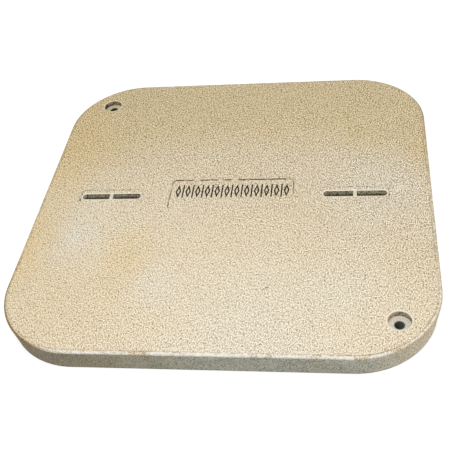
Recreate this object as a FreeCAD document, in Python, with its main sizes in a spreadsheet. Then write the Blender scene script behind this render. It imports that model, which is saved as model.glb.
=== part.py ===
# Cable pit cover: one square slab cast in polymer concrete, with rounded corners, drafted
# sides, two counterbored bolt holes, two pull slots and a sunk label panel.
# The origin is the middle of the underside. +Z points up out of the pit, +X runs along
# the pull slots and +Y points to the far edge. Lengths are millimetres, angles degrees.
import FreeCAD, Part
import math
import os

import Sketcher


NODE_NAME = "cover_slab"
PARTS_FOLDER = "parts"

# How a sketch names its own origin and the points of a line or an arc.
SKETCH_ORIGIN = (-1, 1)
START = 1
END = 2
CENTRE = 3

QUARTER_TURN = math.pi / 2
UP = FreeCAD.Vector(0, 0, 1)
HEIGHT_TOLERANCE = 1.0e-4
LEAST_VOLUME_CHANGE = 1.0

# Each row is a driving size, its value and what it measures.
DRIVING_SIZES = (
    ("cover_side", 647.7, "side of the square over its top edges"),
    ("corner_radius", 124.0, "radius of the rounded corners at the top"),
    ("cover_thickness", 41.3, "underside to the top of the textured field"),
    ("side_draft", 6.3, "angle by which the sides lean in towards the underside"),
    ("top_edge_round", 2.5, "radius along the top edge"),
    ("foot_bevel", 2.0, "bevel along the edge of the underside"),
    ("border_width", 6.0, "smooth border between the top edge and the textured field"),
    ("field_rise", 0.5, "height of the textured field above the smooth border"),
    ("bolt_hole_inset", 63.5, "bolt hole centre to each of the two sides beside it, before the shift"),
    ("bolt_hole_shift", 2.1, "middle between the bolt holes beyond the middle of the cover"),
    ("bolt_hole_offset", 2.2, "middle between the bolt holes to the right of the middle of the cover"),
    ("bolt_hole_diameter", 13.0, "clear hole for a half-inch bolt"),
    ("counterbore_diameter", 33.3, "recess for the bolt head and its washer"),
    ("counterbore_depth", 10.5, "depth of that recess below the textured field"),
    ("slot_length", 101.6, "pull slot from end to end"),
    ("slot_width", 12.7, "pull slot across"),
    ("slot_edge_gap", 69.85, "outer end of a pull slot to the side of the cover"),
    ("slot_shift", 2.1, "centre line of the pull slots beyond the middle of the cover"),
    ("bridge_width", 5.8, "cast bridge over a pull slot, measured along the slot"),
    ("bridge_depth", 16.0, "cast bridge from its top to its round underside"),
    ("bridge_root", 1.5, "length of the bridge that runs into each wall of the slot"),
    ("surround_length", 108.0, "sunk surround of a pull slot, from end to end"),
    ("surround_height", 31.0, "sunk surround of a pull slot, across"),
    ("surround_radius", 7.0, "corner radius of that surround"),
    ("surround_depth", 0.5, "depth of that surround below the textured field"),
    ("mouth_bevel", 0.8, "bevel round the mouths of the slots and counterbores"),
    ("panel_length", 206.0, "label panel from end to end"),
    ("panel_height", 69.85, "label panel across"),
    ("panel_radius", 8.0, "corner radius of the label panel"),
    ("panel_depth", 0.8, "depth of the label panel below the textured field"),
    ("panel_shift", 4.9, "centre line of the label panel beyond the middle of the cover"),
    ("panel_offset", 1.2, "middle of the label panel to the right of the middle of the cover"),
    ("mark_count", 12, "lozenges in the ornament on the label panel"),
    ("mark_pitch", 16.5, "one lozenge to the next"),
    ("mark_height", 31.75, "height of the ornament"),
    ("mark_shift", 6.9, "centre line of the ornament beyond that of the label panel"),
    ("mark_offset", 0.8, "middle of the ornament to the right of that of the label panel"),
    ("mark_depth", 1.2, "depth of the ornament's cuts below the label panel"),
    ("lozenge_width", 9.4, "one lozenge across"),
    ("core_width", 4.2, "uncut core of a lozenge, across"),
    ("core_height", 16.0, "uncut core of a lozenge, from point to point"),
    ("bar_width", 2.4, "upright bar between two lozenges, across"),
)

# Places and heights that follow from the driving sizes.
FIELD_TOP = "Sizes.cover_thickness"
BORDER_TOP = "Sizes.cover_thickness - Sizes.field_rise"
SURROUND_FLOOR = "Sizes.cover_thickness - Sizes.surround_depth"
PANEL_FLOOR = "Sizes.cover_thickness - Sizes.panel_depth"
SLOT_CENTRE = "Sizes.cover_side / 2 - Sizes.slot_edge_gap - Sizes.slot_length / 2"
BOLT_HOLE_PLACE = "Sizes.cover_side / 2 - Sizes.bolt_hole_inset"
MARK_LINE = "Sizes.panel_shift + Sizes.mark_shift"


def make_sheet(doc):
    """Write the driving sizes to a sheet, one row each, with its name as the alias."""
    sheet = doc.addObject("Spreadsheet::Sheet", "Sizes")
    for row, (name, value, meaning) in enumerate(DRIVING_SIZES, start=1):
        sheet.set(f"A{row}", meaning)
        sheet.set(f"B{row}", str(value))
        sheet.setAlias(f"B{row}", name)
    doc.recompute()


def size_now(holder, expression):
    """Return what an expression on the sheet is worth at present."""
    return float(holder.evalExpression(expression))


def origin_feature(body, role):
    """Return the plane or axis of the body's own origin that has this role."""
    return next(feature for feature in body.Origin.OriginFeatures if feature.Role == role)


def add_sketch(body, name, plane, **shifts):
    """Add a sketch on an origin plane, shifted by an expression for each direction."""
    sketch = body.newObject("Sketcher::SketchObject", name)
    sketch.AttachmentSupport = [(origin_feature(body, plane), "")]
    sketch.MapMode = "FlatFace"
    for direction, expression in shifts.items():
        sketch.setExpression(f"AttachmentOffset.Base.{direction}", expression)
    return sketch


def add_line(sketch, first, last):
    """Add a line between two points and return its number."""
    line = Part.LineSegment(FreeCAD.Vector(*first, 0), FreeCAD.Vector(*last, 0))
    return sketch.addGeometry(line, False)


def add_arc(sketch, centre, radius, first_angle, last_angle):
    """Add an arc, drawn anticlockwise, and return its number."""
    circle = Part.Circle(FreeCAD.Vector(*centre, 0), UP, radius)
    return sketch.addGeometry(Part.ArcOfCircle(circle, first_angle, last_angle), False)


def constrain(sketch, *rule):
    """Add a constraint that has no size."""
    sketch.addConstraint(Sketcher.Constraint(*rule))


def dimension(sketch, name, expression, *rule):
    """Add a named constraint whose size follows an expression."""
    index = sketch.addConstraint(Sketcher.Constraint(*rule, size_now(sketch, expression)))
    sketch.renameConstraint(index, name)
    sketch.setExpression(f"Constraints.{name}", expression)


def draw_rounded_rectangle(sketch, length, height, radius):
    """Draw a rounded rectangle about the sketch's origin, from three expressions."""
    half_length = size_now(sketch, length) / 2
    half_height = size_now(sketch, height) / 2
    corner = size_now(sketch, radius)
    inner_x = half_length - corner
    inner_y = half_height - corner
    bottom = add_line(sketch, (-inner_x, -half_height), (inner_x, -half_height))
    bottom_right = add_arc(sketch, (inner_x, -inner_y), corner, -QUARTER_TURN, 0)
    right = add_line(sketch, (half_length, -inner_y), (half_length, inner_y))
    top_right = add_arc(sketch, (inner_x, inner_y), corner, 0, QUARTER_TURN)
    top = add_line(sketch, (inner_x, half_height), (-inner_x, half_height))
    top_left = add_arc(sketch, (-inner_x, inner_y), corner, QUARTER_TURN, 2 * QUARTER_TURN)
    left = add_line(sketch, (-half_length, inner_y), (-half_length, -inner_y))
    bottom_left = add_arc(sketch, (-inner_x, -inner_y), corner, 2 * QUARTER_TURN, 3 * QUARTER_TURN)
    loop = (bottom, bottom_right, right, top_right, top, top_left, left, bottom_left)
    for piece, following in zip(loop, loop[1:] + loop[:1]):
        constrain(sketch, "Tangent", piece, END, following, START)
    for other in (top_right, top_left, bottom_left):
        constrain(sketch, "Equal", bottom_right, other)
    constrain(sketch, "Horizontal", bottom)
    constrain(sketch, "Symmetric", bottom, START, top, START, *SKETCH_ORIGIN)
    dimension(sketch, "length", length, "DistanceX", left, START, right, START)
    dimension(sketch, "height", height, "DistanceY", bottom, START, top, START)
    dimension(sketch, "corner", radius, "Radius", bottom_right)


def draw_slot(sketch, length, width):
    """Draw a slot with round ends about the sketch's origin, from two expressions."""
    radius = size_now(sketch, width) / 2
    reach = size_now(sketch, length) / 2 - radius
    bottom = add_line(sketch, (-reach, -radius), (reach, -radius))
    right = add_arc(sketch, (reach, 0), radius, -QUARTER_TURN, QUARTER_TURN)
    top = add_line(sketch, (reach, radius), (-reach, radius))
    left = add_arc(sketch, (-reach, 0), radius, QUARTER_TURN, 3 * QUARTER_TURN)
    loop = (bottom, right, top, left)
    for piece, following in zip(loop, loop[1:] + loop[:1]):
        constrain(sketch, "Tangent", piece, END, following, START)
    constrain(sketch, "Horizontal", bottom)
    constrain(sketch, "Symmetric", left, CENTRE, right, CENTRE, *SKETCH_ORIGIN)
    dimension(sketch, "reach", f"{length} - {width}", "DistanceX", left, CENTRE, right, CENTRE)
    dimension(sketch, "end_radius", f"({width}) / 2", "Radius", right)


def draw_loop(sketch, points):
    """Draw a closed loop of lines through the points and return their numbers."""
    lines = [add_line(sketch, first, last) for first, last in zip(points, points[1:] + points[:1])]
    for line, following in zip(lines, lines[1:] + lines[:1]):
        constrain(sketch, "Coincident", line, END, following, START)
    return lines


def draw_lozenge(sketch, name, width, height):
    """Draw an upright lozenge about the sketch's origin, from two expressions."""
    half_width = size_now(sketch, width) / 2
    half_height = size_now(sketch, height) / 2
    points = [(half_width, 0), (0, half_height), (-half_width, 0), (0, -half_height)]
    right, top, left, bottom = draw_loop(sketch, points)
    constrain(sketch, "Symmetric", left, START, right, START, *SKETCH_ORIGIN)
    constrain(sketch, "Symmetric", bottom, START, top, START, *SKETCH_ORIGIN)
    constrain(sketch, "Horizontal", left, START, right, START)
    constrain(sketch, "Vertical", bottom, START, top, START)
    dimension(sketch, f"{name}_width", width, "DistanceX", left, START, right, START)
    dimension(sketch, f"{name}_height", height, "DistanceY", bottom, START, top, START)


def draw_upright_bar(sketch, width, height):
    """Draw an upright rectangle about the sketch's origin, from two expressions."""
    half_width = size_now(sketch, width) / 2
    half_height = size_now(sketch, height) / 2
    points = [
        (-half_width, -half_height),
        (half_width, -half_height),
        (half_width, half_height),
        (-half_width, half_height),
    ]
    bottom, right, top, left = draw_loop(sketch, points)
    constrain(sketch, "Horizontal", bottom)
    constrain(sketch, "Horizontal", top)
    constrain(sketch, "Vertical", right)
    constrain(sketch, "Vertical", left)
    constrain(sketch, "Symmetric", bottom, START, top, START, *SKETCH_ORIGIN)
    dimension(sketch, "width", width, "DistanceX", bottom, START, right, START)
    dimension(sketch, "height", height, "DistanceY", right, START, top, START)


def draw_bridge_section(sketch, width, depth):
    """Draw the bridge's section: flat on top at the sketch's origin, round underneath."""
    radius = size_now(sketch, width) / 2
    straight = size_now(sketch, depth) - radius
    top = add_line(sketch, (radius, 0), (-radius, 0))
    left = add_line(sketch, (-radius, 0), (-radius, -straight))
    underside = add_arc(sketch, (0, -straight), radius, 2 * QUARTER_TURN, 4 * QUARTER_TURN)
    right = add_line(sketch, (radius, -straight), (radius, 0))
    constrain(sketch, "Coincident", top, END, left, START)
    constrain(sketch, "Tangent", left, END, underside, START)
    constrain(sketch, "Tangent", underside, END, right, START)
    constrain(sketch, "Coincident", right, END, top, START)
    constrain(sketch, "Vertical", left)
    constrain(sketch, "Symmetric", top, START, top, END, *SKETCH_ORIGIN)
    dimension(sketch, "width", width, "DistanceX", top, END, top, START)
    straight_depth = f"{depth} - {width} / 2"
    dimension(sketch, "straight_depth", straight_depth, "DistanceY", underside, CENTRE, *SKETCH_ORIGIN)


def draw_bolt_holes(sketch, diameter, place):
    """Draw the two bolt holes on the diagonal from the near right to the far left corner."""
    reach = size_now(sketch, place)
    radius = size_now(sketch, diameter) / 2
    near = sketch.addGeometry(Part.Circle(FreeCAD.Vector(reach, -reach, 0), UP, radius), False)
    far = sketch.addGeometry(Part.Circle(FreeCAD.Vector(-reach, reach, 0), UP, radius), False)
    constrain(sketch, "Equal", near, far)
    constrain(sketch, "Symmetric", near, CENTRE, far, CENTRE, *SKETCH_ORIGIN)
    dimension(sketch, "across", place, "DistanceX", *SKETCH_ORIGIN, near, CENTRE)
    dimension(sketch, "along", place, "DistanceY", near, CENTRE, *SKETCH_ORIGIN)
    dimension(sketch, "hole_diameter", diameter, "Diameter", near)


def add_pad(body, name, sketch, length, downwards=False, both_ways=False, draft=None):
    """Add material on a sketch. A draft is the angle by which its sides lean in."""
    pad = body.newObject("PartDesign::Pad", name)
    pad.Profile = sketch
    pad.Type = "Length"
    pad.setExpression("Length", length)
    pad.Reversed = downwards
    if both_ways:
        pad.SideType = "Symmetric"
    if draft:
        pad.setExpression("TaperAngle", f"-{draft}")
    body.Document.recompute()
    return pad


def add_pocket(body, name, sketch, depth=None):
    """Cut downwards from a sketch, to a depth or right through."""
    pocket = body.newObject("PartDesign::Pocket", name)
    pocket.Profile = sketch
    if depth:
        pocket.Type = "Length"
        pocket.setExpression("Length", depth)
    else:
        pocket.Type = "ThroughAll"
    body.Document.recompute()
    return pocket


def mirror_across(body, name, originals):
    """Repeat features on the other side of the plane that halves the cover left and right."""
    mirrored = body.newObject("PartDesign::Mirrored", name)
    mirrored.Originals = originals
    mirrored.MirrorPlane = (origin_feature(body, "YZ_Plane"), [""])
    body.Tip = mirrored
    body.Document.recompute()
    return mirrored


def repeat_along(body, name, original, count, pitch):
    """Repeat a feature along X, count times in all, one pitch apart."""
    row = body.newObject("PartDesign::LinearPattern", name)
    row.Originals = [original]
    row.Direction = (origin_feature(body, "X_Axis"), [""])
    row.Mode = "Extent"
    row.setExpression("Length", f"({pitch}) * ({count} - 1)")
    row.setExpression("Occurrences", count)
    body.Tip = row
    body.Document.recompute()
    return row


def edges_at(feature, height):
    """Return the names of the edges that lie flat at a height."""
    names = []
    for number, edge in enumerate(feature.Shape.Edges, start=1):
        box = edge.BoundBox
        if max(abs(box.ZMin - height), abs(box.ZMax - height)) < HEIGHT_TOLERANCE:
            names.append(f"Edge{number}")
    return names


def slot_mouths(feature, centre_line, width):
    """Return the names of the edges round the slots, where they open into their surrounds."""
    limit = width / 2 + HEIGHT_TOLERANCE
    names = []
    for name in edges_at(feature, size_now(feature, SURROUND_FLOOR)):
        box = feature.Shape.getElement(name).BoundBox
        if max(abs(box.YMin - centre_line), abs(box.YMax - centre_line)) < limit:
            names.append(name)
    return names


def counterbore_mouths(feature, radius):
    """Return the names of the circles where the counterbores open into the textured field."""
    names = []
    for name in edges_at(feature, size_now(feature, FIELD_TOP)):
        curve = feature.Shape.getElement(name).Curve
        if isinstance(curve, Part.Circle) and abs(curve.Radius - radius) < HEIGHT_TOLERANCE:
            names.append(name)
    return names


def dress_edges(body, kind, name, base, edges, size_name, size):
    """Round or bevel edges of a feature by a size."""
    dressed = body.newObject(kind, name)
    dressed.Base = (base, edges)
    dressed.setExpression(size_name, size)
    base.Visibility = False
    body.Document.recompute()
    return dressed


def cast_slab(body):
    """Make the drafted slab up to its smooth border, with its edges eased."""
    outline = add_sketch(body, "slab_outline", "XY_Plane", z=BORDER_TOP)
    draw_rounded_rectangle(outline, "Sizes.cover_side", "Sizes.cover_side", "Sizes.corner_radius")
    slab = add_pad(body, "slab", outline, BORDER_TOP, downwards=True, draft="Sizes.side_draft")
    top_edges = edges_at(slab, size_now(body, BORDER_TOP))
    rounded = dress_edges(
        body, "PartDesign::Fillet", "rounded_top_edge", slab, top_edges, "Radius", "Sizes.top_edge_round"
    )
    foot_edges = edges_at(rounded, 0)
    return dress_edges(
        body, "PartDesign::Chamfer", "foot_bevel", rounded, foot_edges, "Size", "Sizes.foot_bevel"
    )


def raise_field(body):
    """Raise the textured field above the smooth border."""
    outline = add_sketch(body, "field_outline", "XY_Plane", z=BORDER_TOP)
    side = "Sizes.cover_side - 2 * Sizes.border_width"
    draw_rounded_rectangle(outline, side, side, "Sizes.corner_radius - Sizes.border_width")
    return add_pad(body, "textured_field", outline, "Sizes.field_rise")


def cut_pull_slots(body):
    """Sink the two surrounds and cut the two slots right through their floors."""
    surround_outline = add_sketch(
        body, "surround_outline", "XY_Plane", x=SLOT_CENTRE, y="Sizes.slot_shift", z=FIELD_TOP
    )
    draw_rounded_rectangle(
        surround_outline, "Sizes.surround_length", "Sizes.surround_height", "Sizes.surround_radius"
    )
    surround = add_pocket(body, "surround", surround_outline, "Sizes.surround_depth")
    slot_outline = add_sketch(
        body, "slot_outline", "XY_Plane", x=SLOT_CENTRE, y="Sizes.slot_shift", z=FIELD_TOP
    )
    draw_slot(slot_outline, "Sizes.slot_length", "Sizes.slot_width")
    slot = add_pocket(body, "pull_slot", slot_outline)
    slots = mirror_across(body, "both_pull_slots", [surround, slot])
    mouths = slot_mouths(slots, size_now(body, "Sizes.slot_shift"), size_now(body, "Sizes.slot_width"))
    return dress_edges(
        body, "PartDesign::Chamfer", "slot_mouth_bevel", slots, mouths, "Size", "Sizes.mouth_bevel"
    )


def drill_bolt_holes(body):
    """Drill the two bolt holes with their counterbores."""
    across, along = "Sizes.bolt_hole_offset", "Sizes.bolt_hole_shift"
    centres = add_sketch(body, "bolt_hole_centres", "XY_Plane", x=across, y=along, z=FIELD_TOP)
    draw_bolt_holes(centres, "Sizes.bolt_hole_diameter", BOLT_HOLE_PLACE)
    body.Document.recompute()
    holes = body.newObject("PartDesign::Hole", "bolt_holes")
    holes.Profile = centres
    body.Document.recompute()
    holes.Threaded = False
    holes.DepthType = "ThroughAll"
    holes.HoleCutType = "Counterbore"
    holes.HoleCutCustomValues = True
    holes.setExpression("Diameter", "Sizes.bolt_hole_diameter")
    holes.setExpression("HoleCutDiameter", "Sizes.counterbore_diameter")
    holes.setExpression("HoleCutDepth", "Sizes.counterbore_depth")
    body.Document.recompute()
    mouths = counterbore_mouths(holes, size_now(body, "Sizes.counterbore_diameter / 2"))
    return dress_edges(
        body, "PartDesign::Chamfer", "bolt_hole_mouth_bevel", holes, mouths, "Size", "Sizes.mouth_bevel"
    )


def cast_bridges(body):
    """Cast the two bridges across the slots, flush with the floors of their surrounds."""
    section = add_sketch(
        body, "bridge_section", "XZ_Plane", x=SLOT_CENTRE, y=SURROUND_FLOOR, z="-Sizes.slot_shift"
    )
    draw_bridge_section(section, "Sizes.bridge_width", "Sizes.bridge_depth")
    span = "Sizes.slot_width + 2 * Sizes.bridge_root"
    bridge = add_pad(body, "bridge", section, span, both_ways=True)
    return mirror_across(body, "both_bridges", [bridge])


def sink_label_panel(body):
    """Sink the label panel below the textured field."""
    outline = add_sketch(
        body, "panel_outline", "XY_Plane", x="Sizes.panel_offset", y="Sizes.panel_shift", z=FIELD_TOP
    )
    draw_rounded_rectangle(outline, "Sizes.panel_length", "Sizes.panel_height", "Sizes.panel_radius")
    return add_pocket(body, "label_panel", outline, "Sizes.panel_depth")


def carve_ornament(body):
    """Carve the ornament: a row of open lozenges with an upright bar between each two."""
    first_lozenge = "Sizes.panel_offset + Sizes.mark_offset - Sizes.mark_pitch * (Sizes.mark_count - 1) / 2"
    outline = add_sketch(body, "lozenge_outline", "XY_Plane", x=first_lozenge, y=MARK_LINE, z=PANEL_FLOOR)
    draw_lozenge(outline, "outer", "Sizes.lozenge_width", "Sizes.mark_height")
    draw_lozenge(outline, "core", "Sizes.core_width", "Sizes.core_height")
    lozenge = add_pocket(body, "lozenge", outline, "Sizes.mark_depth")
    lozenges = repeat_along(body, "lozenge_row", lozenge, "Sizes.mark_count", "Sizes.mark_pitch")
    first_bar = "Sizes.panel_offset + Sizes.mark_offset - Sizes.mark_pitch * (Sizes.mark_count - 2) / 2"
    bar_outline = add_sketch(body, "bar_outline", "XY_Plane", x=first_bar, y=MARK_LINE, z=PANEL_FLOOR)
    draw_upright_bar(bar_outline, "Sizes.bar_width", "Sizes.mark_height")
    bar = add_pocket(body, "bar", bar_outline, "Sizes.mark_depth")
    bars = repeat_along(body, "bar_row", bar, "Sizes.mark_count - 1", "Sizes.mark_pitch")
    return lozenges, bars


def make_cover(doc):
    """Build the cover, step by step, and test that each step changes its volume."""
    body = doc.addObject("PartDesign::Body", NODE_NAME)
    body.Label = NODE_NAME
    cast_slab(body)
    raise_field(body)
    cut_pull_slots(body)
    drill_bolt_holes(body)
    cast_bridges(body)
    sink_label_panel(body)
    carve_ornament(body)
    doc.recompute()
    return body


def check_document(doc, body):
    """Stop if any object failed, if a step did nothing or if the cover isn't one sound solid."""
    for item in doc.Objects:
        if "Invalid" in item.State or "Error" in item.State:
            raise RuntimeError(f"{item.Name} failed: {item.State}")
    volume = 0.0
    for feature in body.Group:
        if not feature.isDerivedFrom("PartDesign::Feature"):
            continue
        change = abs(feature.Shape.Volume - volume)
        if change < LEAST_VOLUME_CHANGE:
            raise RuntimeError(f"{feature.Name} changes nothing")
        volume = feature.Shape.Volume
    shape = body.Shape
    if shape.isNull() or not shape.isValid() or len(shape.Solids) != 1:
        raise RuntimeError(f"{body.Label} isn't one valid solid")


def main():
    """Build the cover and write it out."""
    doc = FreeCAD.newDocument("cable_pit_cover")
    make_sheet(doc)
    body = make_cover(doc)
    check_document(doc, body)
    os.makedirs(PARTS_FOLDER, exist_ok=True)
    body.Shape.exportStep(f"{PARTS_FOLDER}/{body.Label}.step")
    box = body.Shape.optimalBoundingBox()
    print(f"{body.Label}: {box.XLength:.2f} x {box.YLength:.2f} x {box.ZLength:.2f} mm")
    print(f"volume {body.Shape.Volume / 1.0e6:.4f} litres, {len(body.Shape.Faces)} faces")


main()
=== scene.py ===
"""The cable pit cover's looks: a weathered, pebbled cast slab on a pale studio floor.

Lengths are metres in the frame's own axes: +Z up, +X along the pull slots, +Y to the far edge.
"""
import logging
import math
from collections.abc import Callable, Iterable
from dataclasses import dataclass
from enum import IntEnum

import bmesh
import bpy
import numpy as np
from mathutils import Euler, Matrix, Vector, kdtree, noise
from mathutils.geometry import delaunay_2d_cdt


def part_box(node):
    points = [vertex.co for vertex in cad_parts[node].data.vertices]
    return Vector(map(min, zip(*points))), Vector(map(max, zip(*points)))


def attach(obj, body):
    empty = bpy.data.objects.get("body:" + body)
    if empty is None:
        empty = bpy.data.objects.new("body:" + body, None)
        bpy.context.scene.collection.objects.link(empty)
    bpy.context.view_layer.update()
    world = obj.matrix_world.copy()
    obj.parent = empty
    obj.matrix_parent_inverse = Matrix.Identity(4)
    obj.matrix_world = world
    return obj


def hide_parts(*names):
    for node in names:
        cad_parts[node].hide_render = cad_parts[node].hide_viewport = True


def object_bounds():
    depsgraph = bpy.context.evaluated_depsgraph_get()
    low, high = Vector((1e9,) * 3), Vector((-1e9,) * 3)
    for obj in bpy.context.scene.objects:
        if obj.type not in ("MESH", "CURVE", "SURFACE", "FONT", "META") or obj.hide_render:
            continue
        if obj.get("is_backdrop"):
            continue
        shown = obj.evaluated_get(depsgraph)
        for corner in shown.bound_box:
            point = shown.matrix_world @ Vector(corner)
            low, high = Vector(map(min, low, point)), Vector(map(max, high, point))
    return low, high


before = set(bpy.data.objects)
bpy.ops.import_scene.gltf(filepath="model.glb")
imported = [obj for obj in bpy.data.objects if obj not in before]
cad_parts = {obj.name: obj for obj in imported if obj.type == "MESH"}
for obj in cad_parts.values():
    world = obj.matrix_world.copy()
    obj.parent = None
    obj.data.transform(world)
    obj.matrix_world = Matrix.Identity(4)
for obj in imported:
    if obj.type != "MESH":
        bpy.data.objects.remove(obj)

CAD_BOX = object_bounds()
LOG = logging.getLogger("pit_cover")
MM = 0.001
MICRON = 0.000001
NODE = "cover_slab"
FINE_STEP = 0.8 * MM

Colour = tuple[float, float, float]
Socket = bpy.types.NodeSocket


def colour(red: int, green: int, blue: int) -> Colour:
    """Turn a colour as a screen shows it, 0 to 255, into linear light.

    Args:
        red: The red level.
        green: The green level.
        blue: The blue level.

    Returns:
        The three linear values.
    """
    def linear(level: int) -> float:
        """Undo the screen's curve for one level."""
        share = level / 255
        return share / 12.92 if share <= 0.04045 else ((share + 0.055) / 1.055) ** 2.4

    return linear(red), linear(green), linear(blue)


class Surface(IntEnum):
    """The slab's kinds of surface, in the order of its material slots."""

    FIELD = 0
    BORDER = 1
    SIDE = 2
    SEAT = 3
    HOLE = 4
    WALL = 5
    UNDERSIDE = 6
    PAINT = 7


@dataclass
class Wiring:
    """A short way to add nodes to a tree and to join them."""

    tree: bpy.types.NodeTree

    def node(self, kind: str, inputs: dict | None = None, **settings: object) -> bpy.types.Node:
        """Add a node.

        Args:
            kind: The node's type name, without the ShaderNode that they all share.
            inputs: What each input holds: a value, or a socket that feeds it.
            **settings: The node's own settings.

        Returns:
            The new node.
        """
        made = self.tree.nodes.new(f"ShaderNode{kind}")
        for name, value in settings.items():
            setattr(made, name, value)
        for key, value in (inputs or {}).items():
            if isinstance(value, Socket):
                self.tree.links.new(value, made.inputs[key])
            elif isinstance(value, tuple) and len(value) == 3 and made.inputs[key].type == "RGBA":
                made.inputs[key].default_value = (*value, 1.0)
            else:
                made.inputs[key].default_value = value
        return made

    def math(self, operation: str, *values: float | Socket, clamp: bool = False) -> Socket:
        """Work out a value from one to three others."""
        made = self.node("Math", dict(enumerate(values)), operation=operation, use_clamp=clamp)
        return made.outputs[0]

    def vector(self, operation: str, *values: tuple | Socket) -> Socket:
        """Work out a vector from one or two others."""
        return self.node("VectorMath", dict(enumerate(values)), operation=operation).outputs[0]

    def smooth(self, value: float | Socket, low: float | Socket, high: float | Socket) -> Socket:
        """Turn a value into a soft step from 0 at low to 1 at high."""
        inputs = {"Value": value, "From Min": low, "From Max": high}
        return self.node("MapRange", inputs, interpolation_type="SMOOTHSTEP").outputs["Result"]

    def scale(self, value: float | Socket, low: float, high: float) -> Socket:
        """Stretch a value from 0 and 1 to low and high."""
        return self.node("MapRange", {"Value": value, "To Min": low, "To Max": high}).outputs["Result"]

    def mix(
        self, factor: float | Socket, first: tuple | Socket, second: tuple | Socket, way: str = "MIX"
    ) -> Socket:
        """Blend two colours, or with MULTIPLY darken the first by the second."""
        inputs = {"Factor": factor, "A": first, "B": second}
        made = self.node("Mix", data_type="RGBA", clamp_factor=True, blend_type=way)
        sockets = {"Factor": made.inputs[0], "A": made.inputs[6], "B": made.inputs[7]}
        for key, value in inputs.items():
            if isinstance(value, Socket):
                self.tree.links.new(value, sockets[key])
            elif isinstance(value, tuple):
                sockets[key].default_value = (*value, 1.0)
            else:
                sockets[key].default_value = value
        return made.outputs[2]

    def noise(self, place: Socket, scale: float | Socket, detail: float = 2.0, rough: float = 0.5) -> Socket:
        """Add a noise pattern and return its value, from 0 to 1."""
        inputs = {"Vector": place, "Scale": scale, "Detail": detail, "Roughness": rough}
        return self.node("TexNoise", inputs).outputs[0]


@dataclass(frozen=True)
class Port:
    """One input or output of a shared effect."""

    name: str
    kind: str = "Float"
    value: float | tuple | None = None


class SharedEffect:
    """A node group that several finishes use, built once.

    Args:
        name: The group's name.
        inputs: The group's inputs, with their starting values.
        outputs: The group's outputs.
        wire: The function that joins the group's inputs to its outputs.
    """

    def __init__(
        self,
        name: str,
        inputs: Iterable[Port],
        outputs: Iterable[Port],
        wire: Callable[[Wiring, dict[str, Socket]], dict[str, Socket]],
    ) -> None:
        self.tree = bpy.data.node_groups.new(name, "ShaderNodeTree")
        for ports, side in ((inputs, "INPUT"), (outputs, "OUTPUT")):
            for port in ports:
                made = self.tree.interface.new_socket(
                    port.name, in_out=side, socket_type=f"NodeSocket{port.kind}"
                )
                if port.value is not None:
                    made.default_value = port.value
        entry = self.tree.nodes.new("NodeGroupInput")
        leave = self.tree.nodes.new("NodeGroupOutput")
        given = {socket.name: socket for socket in entry.outputs if socket.name}
        for key, socket in wire(Wiring(self.tree), given).items():
            self.tree.links.new(socket, leave.inputs[key])

    def place(self, wiring: Wiring, **inputs: float | tuple | Socket) -> bpy.types.Node:
        """Put the effect into a material.

        Args:
            wiring: The material's tree.
            **inputs: The group's inputs, with underscores for the spaces in their names.

        Returns:
            The group's node.
        """
        made = wiring.tree.nodes.new("ShaderNodeGroup")
        made.node_tree = self.tree
        for key, value in inputs.items():
            socket = made.inputs[key.replace("_", " ")]
            if isinstance(value, Socket):
                wiring.tree.links.new(value, socket)
            else:
                socket.default_value = value
        return made


def wire_rim(wiring: Wiring, given: dict[str, Socket]) -> dict[str, Socket]:
    """Measure how far a point lies inside the rounded outline of the slab."""
    flat = wiring.vector("MULTIPLY", given["Place"], (1.0, 1.0, 0.0))
    beyond = wiring.vector("SUBTRACT", wiring.vector("ABSOLUTE", flat), given["Straight"])
    positive = wiring.vector("MAXIMUM", beyond, (0.0, 0.0, 0.0))
    reach = wiring.node("VectorMath", {0: positive}, operation="LENGTH").outputs["Value"]
    return {"Inside": wiring.math("SUBTRACT", given["Radius"], reach)}


def wire_grain(wiring: Wiring, given: dict[str, Socket]) -> dict[str, Socket]:
    """Make the cast grain: pebbles close together, sand on them and a few open pores."""
    place = given["Place"]
    pebble_scale = wiring.math("DIVIDE", 1.7, given["Pebble"])
    sand_scale = wiring.math("DIVIDE", 1.7, given["Sand"])
    lump = wiring.smooth(wiring.noise(place, pebble_scale, 1.0, 0.4), 0.32, 0.68)
    sand = wiring.smooth(wiring.noise(place, sand_scale, 1.0, 0.6), 0.3, 0.7)
    pore = wiring.smooth(wiring.noise(place, wiring.math("MULTIPLY", pebble_scale, 0.8), 2.0, 0.7), 0.66, 0.74)
    mixed = wiring.math("MULTIPLY_ADD", sand, given["Sand Share"], lump)
    height = wiring.math("SUBTRACT", mixed, wiring.math("MULTIPLY", pore, 0.6))
    return {"Height": height, "Lump": lump, "Sand": sand, "Pore": pore}


def wire_pebbles(wiring: Wiring, given: dict[str, Socket]) -> dict[str, Socket]:
    """Make the mould texture of the top, seen from above: small grains close together, with sand on them."""

    def pattern(rate: float, size: Socket, detail: float = 0.0) -> Socket:
        """Make a flat noise with grains of about one size."""
        inputs = {"Vector": given["Place"], "Scale": wiring.math("DIVIDE", rate, size), "Detail": detail}
        return wiring.node("TexNoise", inputs, noise_dimensions="2D").outputs[0]

    dome = wiring.smooth(pattern(1.0, given["Pebble"], 1.0), 0.38, 0.6)
    sand = wiring.smooth(pattern(1.7, given["Sand"], 1.0), 0.32, 0.68)
    pore = wiring.smooth(pattern(0.62, given["Pebble"]), 0.74, 0.8)
    height = wiring.math("SUBTRACT", wiring.math("MULTIPLY_ADD", sand, given["Sand Share"], dome), pore)
    return {"Height": height, "Gap": wiring.math("SUBTRACT", 1.0, dome), "Sand": sand, "Pore": pore}


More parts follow.
